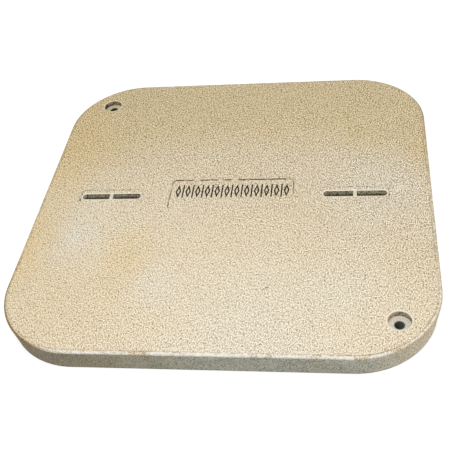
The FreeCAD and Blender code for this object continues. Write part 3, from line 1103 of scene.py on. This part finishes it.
@dataclass(frozen=True)
class PebbledTop:
    """The textured top: warm sand-coloured castings whose pebbled hollows carry painted shade with some dirt, with
    pale high spots, painted highlights round the slot and bolt-hole mouths and painted shade along the sunk outlines.
    """

    shape: CoverShape
    name: str = "pebbled_top"
    # Painted shade of the pebbled relief, with some dirt, laid into the hollows between the grains.
    shade: Colour = (0.39, 0.3, 0.19)
    # Darker still in the open pores: painted shade with some dirt.
    pit: Colour = (0.3, 0.25, 0.18)
    # A thin ring of painted highlight round the slot and bolt-hole mouths, brighter towards the near side.
    rubbed_highlight: Colour = colour(255, 251, 242)
    # A pale band without grain over the eased mouths and the bridges: their smooth skin, with painted highlight round
    # the mouths.
    wear_and_highlight: Colour = colour(230, 218, 192)
    # Painted shade, with some dirt, along the foot of the sunk outlines.
    dirt_and_shade: Colour = colour(74, 62, 46)
    fine: float = 1.55 * MM
    coarse: float = 1.75 * MM
    sand: float = 0.9 * MM
    drawn_out: float = 0.68
    relief: float = 0.12 * MM

    def make(self, effects: Effects) -> bpy.types.Material:
        """Make the material."""
        material, wiring, shader = new_material(self.name)
        place = wiring.node("TexCoord").outputs["Object"]
        split = wiring.node("SeparateXYZ", {"Vector": place}).outputs
        pebble = wiring.scale(wiring.smooth(split["Y"], -0.25, 0.3), self.fine, self.coarse)
        drawn = wiring.vector("MULTIPLY", place, (1.0, self.drawn_out, 1.0))
        grain = effects.pebbles.place(wiring, Place=drawn, Pebble=pebble, Sand=self.sand, Sand_Share=0.5).outputs
        clean = stained(wiring, effects, place)
        # The grain's painted shade is weaker towards the near side and the left.
        corner = wiring.math("MULTIPLY_ADD", split["X"], 0.5, split["Y"])
        calm = wiring.scale(wiring.smooth(corner, 0.1, -0.2), 0.96, 0.76)
        dirt_and_shade_share = wiring.math("MULTIPLY", wiring.scale(wiring.noise(place, 40.0, 3.0, 0.6), 0.85, 1.15), calm)
        # Painted shade, with some dirt, in the hollows of the grain and, darker still, in its pores.
        tone = wiring.mix(wiring.math("MULTIPLY", grain["Gap"], dirt_and_shade_share), clean, self.shade, "MULTIPLY")
        tone = wiring.mix(wiring.math("MULTIPLY", grain["Pore"], dirt_and_shade_share), tone, self.pit, "MULTIPLY")
        mouths = self.mouths(wiring, effects, place)
        # Painted highlight round the mouths: a pale band over the eased edges and a brighter ring just outside them,
        # stronger towards the near side.
        tone = wiring.mix(wiring.smooth(mouths, -2.4 * MM, -1.1 * MM), tone, self.wear_and_highlight)
        ring = wiring.math("SUBTRACT", 1.0, wiring.smooth(wiring.math("ADD", mouths, 1.0 * MM), 0.6 * MM, 1.5 * MM))
        ring = wiring.math("MULTIPLY", ring, wiring.smooth(mouths, -2.4 * MM, -1.1 * MM))
        near = wiring.scale(wiring.smooth(split["Y"], 0.22, 0.12), 0.25, 0.7)
        tone = wiring.mix(wiring.math("MULTIPLY", ring, near), tone, self.rubbed_highlight)
        # Painted shade, with some dirt, along the foot of the sunk panel and slot surrounds.
        tone = wiring.mix(self.crevices(wiring, effects, place), tone, self.dirt_and_shade)
        tone = spotted(wiring, effects, place, tone, FIELD_SPOTS)
        roughness = wiring.scale(grain["Sand"], 0.95, 0.78)
        dress(wiring, shader, Look(tone, roughness, grain["Height"], self.relief))
        return material

    def mouths(self, wiring: Wiring, effects: Effects, place: Socket) -> Socket:
        """Measure how far a point lies inside the nearest slot or counterbore."""
        nearest: Socket | None = None
        for outline in (*self.shape.slots, *self.shape.counterbores):
            inside = effects.rim.place(wiring, **outline.mask_inputs(place, wiring)).outputs["Inside"]
            nearest = inside if nearest is None else wiring.math("MAXIMUM", nearest, inside)
        return nearest

    def crevices(self, wiring: Wiring, effects: Effects, place: Socket) -> Socket:
        """Lay broken lines of painted shade, with some dirt, along the foot of each sunk outline."""
        left, right = self.shape.surrounds
        lines: Socket | None = None
        for line in (
            # Darkest on the far sides, which are in shade, and on the panel's right, where its rim casts a shadow;
            # faint or none on the near sides.
            DirtAndShadeLine(self.shape.panel, 0.75, 0.85, 0.2, 1.0),
            DirtAndShadeLine(left, 0.4, 0.2, 0.0, 0.35),
            DirtAndShadeLine(right, 0.1, 0.5, 0.0, 0.25),
        ):
            mask = effects.dirt_line.place(
                wiring,
                Place=place,
                Centre=(*line.outline.centre, 0.0),
                Straight=(*line.outline.straight, 0.0),
                Radius=line.outline.radius,
                Width=1.3 * MM,
                Left=line.left,
                Right=line.right,
                Near=line.near,
                Far=line.far,
            ).outputs["Mask"]
            lines = mask if lines is None else wiring.math("MAXIMUM", lines, mask)
        return lines


@dataclass(frozen=True)
class RubbedBorder:
    """The narrow smooth border and rounded edge: pale in patches along the front, partly rubbed and partly painted
    highlight, with painted shade on the rounded edge and at the foot of the field's step, and crumbs at its chips.
    """

    shape: CoverShape
    name: str = "rubbed_border"
    smooth_skin: Colour = (0.84, 0.82, 0.79)
    hollow: Colour = (0.5, 0.44, 0.36)
    # Pale along the front edge: painted highlight, partly real rubbing and chips.
    rubbed_highlight: Colour = colour(248, 245, 238)
    # Painted shade, tinted brown, on the rounded outer edge.
    brown_shade: Colour = (0.52, 0.38, 0.24)
    # Painted shade low on the rounded edge towards the right corner.
    fillet_shade: Colour = (0.86, 0.81, 0.74)
    # Painted shade, with some dirt, in a broken line at the foot of the field's step.
    dirt_and_shade: Colour = colour(96, 84, 66)
    relief: float = 0.3 * MM

    def make(self, effects: Effects) -> bpy.types.Material:
        """Make the material."""
        material, wiring, shader = new_material(self.name)
        place = wiring.node("TexCoord").outputs["Object"]
        grain = effects.grain.place(wiring, Place=place, Pebble=3.2 * MM, Sand=1.4 * MM, Sand_Share=0.7).outputs
        patchy = wiring.smooth(wiring.noise(place, 24.0, 4.0, 0.7), 0.38, 0.5)
        tone = wiring.mix(1.0, stained(wiring, effects, place), self.smooth_skin, "MULTIPLY")
        tone = wiring.mix(wiring.smooth(grain["Lump"], 0.7, 0.0), tone, self.hollow, "MULTIPLY")
        rim = effects.rim.place(wiring, **self.shape.field.mask_inputs(place, wiring)).outputs["Inside"]
        split = wiring.node("SeparateXYZ", {"Vector": place}).outputs
        across = split["X"]
        front = wiring.smooth(split["Y"], -0.12, -0.2)
        left = wiring.smooth(across, -0.2, -0.26)
        right = wiring.smooth(across, 0.2, 0.29)
        # Painted shade, tinted brown, on the rounded outer edge towards the near left and along the far side.
        outer = wiring.smooth(rim, -2.4 * MM, -3.4 * MM)
        far = wiring.math("MULTIPLY", wiring.smooth(split["Y"], 0.05, 0.24), 0.5)
        brown = wiring.math("MULTIPLY_ADD", left, front, far)
        tone = wiring.mix(wiring.math("MULTIPLY", outer, brown), tone, self.brown_shade, "MULTIPLY")
        # Painted shade low on the rounded edge towards the right corner.
        lowest = wiring.smooth(rim, -3.6 * MM, -4.4 * MM)
        tone = wiring.mix(wiring.math("MULTIPLY", lowest, right), tone, self.fillet_shade, "MULTIPLY")
        # A pale ragged band along the front: painted highlight, partly real rubbing.
        ragged = wiring.math("MULTIPLY_ADD", wiring.noise(place, 230.0, 4.0, 0.6), 10 * MM, rim)
        ragged = wiring.math("MULTIPLY_ADD", right, 1.6 * MM, ragged)
        edge = wiring.math("MULTIPLY", patchy, wiring.smooth(ragged, 4.6 * MM, 3.4 * MM))
        edge = wiring.math("SUBTRACT", wiring.math("MULTIPLY", edge, front), left, clamp=True)
        edge = wiring.math("SUBTRACT", edge, wiring.math("MULTIPLY", lowest, right), clamp=True)
        tone = wiring.mix(wiring.math("MULTIPLY", edge, wiring.scale(grain["Lump"], 0.6, 1.0)), tone, self.rubbed_highlight)
        # Painted shade, with some dirt, in a broken line at the foot of the field's step, left out a little right of
        # the middle.
        foot = wiring.math("SUBTRACT", 1.0, wiring.smooth(wiring.math("ABSOLUTE", rim), 0.2 * MM, 1.1 * MM))
        broken = wiring.smooth(wiring.noise(place, 21.0, 3.0), 0.46, 0.6)
        dirt_and_shade_share = wiring.smooth(wiring.math("ABSOLUTE", wiring.math("SUBTRACT", across, 0.07)), 0.1, 0.15)
        line = wiring.math("MULTIPLY", wiring.math("MULTIPLY", foot, broken), dirt_and_shade_share)
        tone = wiring.mix(wiring.math("MULTIPLY", line, 0.8), tone, self.dirt_and_shade)
        tone = spotted(wiring, effects, place, tone, EDGE_CRUMBS)
        roughness = wiring.scale(patchy, 0.72, 0.92)
        dress(wiring, shader, Look(tone, roughness, grain["Height"], self.relief))
        return material


@dataclass(frozen=True)
class CastSide:
    """The drafted side: grey-green cast skin with fine specks, painted warm light towards the right corner, painted
    shade on the left, at the foot and under the top edge, and a painted highlight along the top edge.
    """

    name: str = "cast_side"
    body: Colour = colour(244, 243, 224)
    deep: Colour = colour(204, 206, 187)
    # Painted warm light on the side towards the right corner.
    brown: Colour = colour(240, 222, 190)
    speck: Colour = colour(252, 250, 240)
    # Dark specks and pores of the grain, and the painted shade at the foot and under the top edge.
    pit: Colour = colour(100, 95, 78)
    # Painted shade, tinted brown, over the left part of the side.
    brown_shade: Colour = (0.78, 0.69, 0.59)
    relief: float = 0.35 * MM

    def make(self, effects: Effects) -> bpy.types.Material:
        """Make the material."""
        material, wiring, shader = new_material(self.name)
        place = wiring.node("TexCoord").outputs["Object"]
        grain = effects.grain.place(wiring, Place=place, Pebble=3.2 * MM, Sand=1.4 * MM, Sand_Share=0.8).outputs
        stains = effects.stains.place(wiring, Place=place, Scale=16.0, Stretch=(1.0, 1.0, 1.6)).outputs
        split = wiring.node("SeparateXYZ", {"Vector": place}).outputs
        tone = wiring.mix(wiring.math("MULTIPLY", stains["Streak"], 0.8), self.body, self.deep)
        # Painted warm light towards the right corner, with some stain clouds.
        corner = wiring.smooth(split["X"], 0.2, 0.29)
        warm_light_and_clouds = wiring.math("MULTIPLY_ADD", corner, 0.75, wiring.math("MULTIPLY", stains["Cloud"], 0.25), clamp=True)
        tone = wiring.mix(warm_light_and_clouds, tone, self.brown)
        tone = wiring.mix(wiring.math("MULTIPLY", wiring.smooth(grain["Lump"], 0.5, 1.0), 0.8), tone, self.speck)
        tone = wiring.mix(wiring.math("MULTIPLY", wiring.smooth(grain["Lump"], 0.45, 0.0), 0.55), tone, self.pit)
        tone = wiring.mix(wiring.math("MULTIPLY", grain["Pore"], 0.6), tone, self.pit)
        # Painted shade over the left part of the side.
        tone = wiring.mix(wiring.smooth(split["X"], 0.04, -0.2), tone, self.brown_shade, "MULTIPLY")
        # Painted shade at the foot, where the side meets the floor.
        foot = wiring.math("SUBTRACT", 1.0, wiring.smooth(split["Z"], 1.5 * MM, 4.5 * MM))
        tone = wiring.mix(wiring.math("MULTIPLY", foot, 0.7), tone, self.pit)
        # Painted shade in broken patches just under the top edge, on the left part.
        under = wiring.smooth(split["Z"], 35.5 * MM, 38.5 * MM)
        under = wiring.math("MULTIPLY", under, wiring.smooth(split["X"], -0.06, -0.18))
        under = wiring.math("MULTIPLY", under, wiring.smooth(wiring.noise(place, 30.0, 3.0), 0.38, 0.52))
        tone = wiring.mix(wiring.math("MULTIPLY", under, 0.85), tone, self.pit)
        # A pale ragged band at the top edge, away from the far left: painted highlight, partly real rubbing.
        spilt = wiring.math("MULTIPLY_ADD", wiring.noise(place, 150.0, 3.0), 6 * MM, split["Z"])
        highlight_and_rubbing = wiring.math("MULTIPLY", wiring.smooth(spilt, 40.4 * MM, 41.4 * MM), wiring.smooth(split["X"], -0.22, -0.16))
        tone = wiring.mix(wiring.math("MULTIPLY", highlight_and_rubbing, 0.85), tone, self.speck)
        tone = spotted(wiring, effects, place, tone, EDGE_CRUMBS)
        dress(wiring, shader, Look(tone, wiring.scale(grain["Sand"], 0.92, 0.74), grain["Height"], self.relief))
        return material


@dataclass(frozen=True)
class PlainCast:
    """A plain cast skin, as under the cover."""

    name: str
    body: Colour
    deep: Colour
    pebble: float
    relief: float
    speckle: float = 0.2
    blotch: float = 30.0

    def make(self, effects: Effects) -> bpy.types.Material:
        """Make the material."""
        material, wiring, shader = new_material(self.name)
        place = wiring.node("TexCoord").outputs["Object"]
        grain = effects.grain.place(wiring, Place=place, Pebble=self.pebble, Sand=1.0 * MM, Sand_Share=0.9).outputs
        patches = wiring.smooth(wiring.noise(place, self.blotch, 4.0, 0.6), 0.35, 0.68)
        mottled = wiring.math("MULTIPLY_ADD", grain["Pore"], 0.5, wiring.math("MULTIPLY", patches, 0.5))
        mottled = wiring.math("MULTIPLY_ADD", grain["Lump"], self.speckle, mottled, clamp=True)
        tone = wiring.mix(mottled, self.body, self.deep)
        dress(wiring, shader, Look(tone, wiring.scale(grain["Sand"], 0.9, 0.72), grain["Height"], self.relief))
        return material


@dataclass(frozen=True)
class SlotWall:
    """The walls of the pull slots: painted shade under the rim and deep down, with pale specks in the lit band
    between.
    """

    name: str = "slot_wall"
    body: Colour = colour(212, 200, 166)
    deep: Colour = colour(72, 62, 44)
    speck: Colour = colour(236, 240, 214)
    relief: float = 0.4 * MM

    def make(self, effects: Effects) -> bpy.types.Material:
        """Make the material."""
        material, wiring, shader = new_material(self.name)
        place = wiring.node("TexCoord").outputs["Object"]
        grain = effects.grain.place(wiring, Place=place, Pebble=3.0 * MM, Sand=1.2 * MM, Sand_Share=0.8).outputs
        height = wiring.node("SeparateXYZ", {"Vector": place}).outputs["Z"]
        ragged = wiring.math("MULTIPLY_ADD", wiring.noise(place, 110.0, 3.0), 5 * MM, height)
        lit = wiring.math("SUBTRACT", wiring.smooth(ragged, 33.0 * MM, 36.5 * MM), wiring.smooth(ragged, 40.2 * MM, 42.2 * MM))
        tone = wiring.mix(wiring.smooth(grain["Lump"], 0.65, 0.15), self.body, self.deep)
        # Painted shade under the rim and deep down, outside the lit band.
        tone = wiring.mix(wiring.math("MULTIPLY", wiring.math("SUBTRACT", 1.0, lit), 0.6), tone, self.deep)
        bright = wiring.math("MULTIPLY", wiring.smooth(wiring.noise(place, 330.0, 2.0), 0.5, 0.6), lit)
        tone = wiring.mix(wiring.math("MULTIPLY", bright, 0.8), tone, self.speck)
        dress(wiring, shader, Look(tone, wiring.scale(grain["Sand"], 0.9, 0.72), grain["Height"], self.relief))
        return material


@dataclass(frozen=True)
class BoltHole:
    """The bolt holes inside: a seat as stained as the top round it, and walls darkened with painted shade.

    Attributes:
        shape: The casting's sizes.
        name: The material's name.
        seat: Whether this is the level seat, and not the walls.
    """

    shape: CoverShape
    name: str
    seat: bool
    skin: Colour = (0.84, 0.88, 0.93)
    # Walls darker than the seat: painted shade inside the holes.
    wall: Colour = (0.68, 0.68, 0.62)
    shade: Colour = (0.62, 0.56, 0.52)
    pale: Colour = colour(255, 253, 250)
    # Painted shade round the through holes' mouths and on the near counterbore's right side.
    dirt_and_shade: Colour = colour(54, 62, 60)
    # Painted shade deep down in the near bore.
    deep_shade: Colour = colour(106, 119, 115)
    # Painted warm light on the lit left side of the near counterbore's wall.
    lit_wall_tint: Colour = colour(240, 202, 168)
    # A darker brown over the far counterbore's wall.
    far_wall_brown: Colour = colour(146, 122, 96)
    relief: float = 0.25 * MM

    def make(self, effects: Effects) -> bpy.types.Material:
        """Make the material."""
        material, wiring, shader = new_material(self.name)
        place = wiring.node("TexCoord").outputs["Object"]
        grain = effects.grain.place(wiring, Place=place, Pebble=2.4 * MM, Sand=1.0 * MM, Sand_Share=0.8).outputs
        tone = wiring.mix(1.0, stained(wiring, effects, place), self.skin if self.seat else self.wall, "MULTIPLY")
        tone = wiring.mix(wiring.smooth(grain["Lump"], 0.6, 0.1), tone, self.shade, "MULTIPLY")
        if self.seat:
            tone = wiring.mix(wiring.math("MULTIPLY", grain["Sand"], 0.35), tone, self.pale)
            # Painted shade: a dark ragged ring round each through hole's mouth.
            tone = wiring.mix(wiring.math("MULTIPLY", self.rims(wiring, effects, place), 0.9), tone, self.dirt_and_shade)
        else:
            tone = spotted(wiring, effects, place, tone, self.wall_spots())
        dress(wiring, shader, Look(tone, wiring.scale(grain["Sand"], 0.9, 0.72), grain["Height"], self.relief))
        return material

    def rims(self, wiring: Wiring, effects: Effects, place: Socket) -> Socket:
        """Find the dark ragged rims round the mouths of the two through holes: painted shade."""
        rims: Socket | None = None
        for hole in self.shape.bores:
            inside = effects.rim.place(wiring, **hole.mask_inputs(place, wiring)).outputs["Inside"]
            ragged = wiring.math("MULTIPLY_ADD", wiring.noise(place, 420.0, 2.0), 1.4 * MM, inside)
            rim = wiring.smooth(ragged, -0.6 * MM, 0.0)
            rims = rim if rims is None else wiring.math("MAXIMUM", rims, rim)
        return rims

    def wall_spots(self) -> list[Spot]:
        """List the spots of the walls: painted warm light on the lit left side of the near counterbore, painted shade
        on its right side and deep down in both bores, and a darker brown with dark spots in the far counterbore.
        """
        near, far = (Vector((*hole.centre, self.shape.top - 5 * MM)) for hole in self.shape.bores)
        radius = self.shape.counterbore_radius
        return [
            # Painted warm light on the lit left side of the near counterbore's wall, painted shade on its right side.
            Spot(tuple(near + Vector((-radius, 8 * MM, 0.0))), (1.0, 1.0, 1.0), 21 * MM, self.lit_wall_tint, 0.75, 300.0),
            Spot(tuple(near + Vector((radius, 0.0, 0.0))), (1.0, 1.0, 1.0), 14 * MM, self.dirt_and_shade, 0.35, 500.0),
            Spot(tuple(far), (1.0, 1.0, 1.0), 26 * MM, self.far_wall_brown, 0.8, 900.0, 0.3),
            *[
                Spot(tuple(far + Vector((x * MM, y * MM, 0.0))), (1.0, 1.0, 1.0), 5 * MM, DARK, 0.85, 400.0)
                for x, y in ((-15, -6), (-14, 5), (15, 2))
            ],
            # Painted shade deep down in both bores.
            Spot(tuple(near - Vector((0.0, 0.0, 21 * MM))), (1.0, 1.0, 0.6), 22 * MM, self.deep_shade, 0.9, 300.0, 0.8),
            Spot(tuple(far - Vector((0.0, 0.0, 21 * MM))), (1.0, 1.0, 0.6), 22 * MM, DARK, 0.9, 300.0, 0.8),
        ]


@dataclass(frozen=True)
class BlackFill:
    """The black paint in the sunk ornament, thin where it is worn."""

    name: str = "black_fill"
    paint: Colour = colour(7, 8, 8)
    faded: Colour = colour(46, 46, 41)
    relief: float = 0.25 * MM

    def make(self, effects: Effects) -> bpy.types.Material:
        """Make the material."""
        material, wiring, shader = new_material(self.name)
        place = wiring.node("TexCoord").outputs["Object"]
        grain = effects.grain.place(wiring, Place=place, Pebble=3.0 * MM, Sand=1.2 * MM, Sand_Share=0.8).outputs
        wear_and_highlight = wiring.math("MULTIPLY", wiring.smooth(grain["Height"], 0.9, 1.2), 0.25)
        tone = wiring.mix(wear_and_highlight, self.paint, self.faded)
        dress(wiring, shader, Look(tone, wiring.scale(wear_and_highlight, 0.5, 0.8), grain["Height"], self.relief))
        return material


def make_finishes(shape: CoverShape, effects: Effects) -> list[bpy.types.Material]:
    """Make one material for each kind of surface, in order.

    Args:
        shape: The casting's sizes.
        effects: The shared effects.

    Returns:
        The materials.
    """
    underside = PlainCast(
        "floated_underside", colour(208, 199, 177), colour(166, 156, 132), 5.0 * MM, 0.25 * MM, 0.2, 12.0
    )
    kinds = {
        Surface.FIELD: PebbledTop(shape),
        Surface.BORDER: RubbedBorder(shape),
        Surface.SIDE: CastSide(),
        Surface.SEAT: BoltHole(shape, "bolt_seat", True),
        Surface.HOLE: BoltHole(shape, "bolt_hole_wall", False),
        Surface.WALL: SlotWall(),
        Surface.UNDERSIDE: underside,
        Surface.PAINT: BlackFill(),
    }
    return [kinds[kind].make(effects) for kind in Surface]


@dataclass
class Studio:
    """The floor, the lamps, the sky and the camera."""

    floor_size: float = 14.0
    floor_grey: float = 0.3
    floor_glow: float = 0.84
    sky_level: float = 0.42
    key_power: float = 11.6
    key_place: tuple[float, float, float] = (0.0, -0.45, 1.33)
    side_power: float = 7.0
    side_place: tuple[float, float, float] = (1.4, -0.5, 0.2)
    warm: Colour = (1.0, 0.95, 0.86)
    camera_place: tuple[float, float, float] = (0.20627, -0.95005, 0.89838)
    camera_turn: tuple[float, float, float] = (46.123, 6.912, 6.595)
    camera_lens: float = 62.93

    def build(self) -> None:
        """Set up the whole studio."""
        self.lay_floor()
        self.light_sky()
        self.hang_lamp("key_lamp", self.key_place, 0.8, self.key_power)
        self.hang_lamp("side_lamp", self.side_place, 0.7, self.side_power)
        self.set_camera()

    def lay_floor(self) -> None:
        """Lay a plain pale floor that looks white and keeps the cover's shadow."""
        bpy.ops.mesh.primitive_plane_add(size=self.floor_size, location=(0.0, 0.0, 0.0))
        floor = bpy.context.object
        floor.name = "floor"
        material, wiring, shader = new_material("pale_floor")
        wiring.tree.nodes.remove(shader)
        seen = self.seen_share(wiring)
        glow = wiring.math("MULTIPLY", seen, self.floor_glow)
        matt = wiring.node("BsdfDiffuse", {"Color": (self.floor_grey,) * 3}).outputs[0]
        light = wiring.node("Emission", {"Strength": glow}).outputs[0]
        both = wiring.node("AddShader", {0: matt, 1: light}).outputs[0]
        wiring.tree.links.new(both, wiring.tree.nodes["Material Output"].inputs["Surface"])
        floor.data.materials.append(material)
        floor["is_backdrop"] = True

    def seen_share(self, wiring: Wiring) -> Socket:
        """Give 1 for rays that the camera, a gloss or a clear surface sees, and 0 for the rest."""
        path = wiring.node("LightPath").outputs
        seen = wiring.math("ADD", path["Is Camera Ray"], path["Is Glossy Ray"])
        return wiring.math("ADD", seen, path["Is Transmission Ray"], clamp=True)

    def light_sky(self) -> None:
        """Fill the room with even light, and show it white."""
        world = bpy.data.worlds.new("studio")
        world.use_nodes = True
        bpy.context.scene.world = world
        wiring = Wiring(world.node_tree)
        seen = self.seen_share(wiring)
        level = wiring.scale(seen, self.sky_level, 1.0)
        background = world.node_tree.nodes["Background"]
        tint = wiring.mix(seen, (0.94, 0.98, 1.0), (1.0, 1.0, 1.0))
        wiring.tree.links.new(tint, background.inputs["Color"])
        wiring.tree.links.new(level, background.inputs["Strength"])

    def hang_lamp(self, name: str, place: tuple[float, float, float], size: float, power: float) -> None:
        """Hang a soft square lamp that points at the cover.

        Args:
            name: The lamp's name.
            place: Where it hangs.
            size: The length of its side.
            power: Its power in watts.
        """
        lamp = bpy.data.lights.new(name, "AREA")
        lamp.size = size
        lamp.energy = power
        lamp.color = self.warm
        holder = bpy.data.objects.new(name, lamp)
        holder.location = place
        holder.rotation_euler = (-Vector(place)).to_track_quat("-Z", "Y").to_euler()
        bpy.context.collection.objects.link(holder)

    def set_camera(self) -> None:
        """Set up the camera from which the cover is seen."""
        camera = bpy.data.cameras.new("camera")
        camera.sensor_width = 36.0
        camera.lens = self.camera_lens
        holder = bpy.data.objects.new("camera", camera)
        holder.location = self.camera_place
        holder.rotation_euler = Euler([math.radians(angle) for angle in self.camera_turn])
        bpy.context.collection.objects.link(holder)
        bpy.context.scene.camera = holder


def write_sizes() -> None:
    """Work out the box of the casting and the box of the finished cover."""
    boxes = {"cad": CAD_BOX, "visual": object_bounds()}
    {name: [list(corner) for corner in box] for name, box in boxes.items()}


def main() -> None:
    """Build the cover, dress it and set it in the studio."""
    bpy.context.scene.view_settings.view_transform = "Standard"
    shape = CoverShape()
    slab = CoverSlab(shape).build(make_finishes(shape, Effects()))
    LOG.info("%s: %d faces", slab.name, len(slab.data.polygons))
    Studio().build()
    LOG.info("studio ready")
    write_sizes()


if __name__ == "__main__":
    logging.basicConfig(level=logging.INFO, format="%(name)s: %(message)s")
    main()
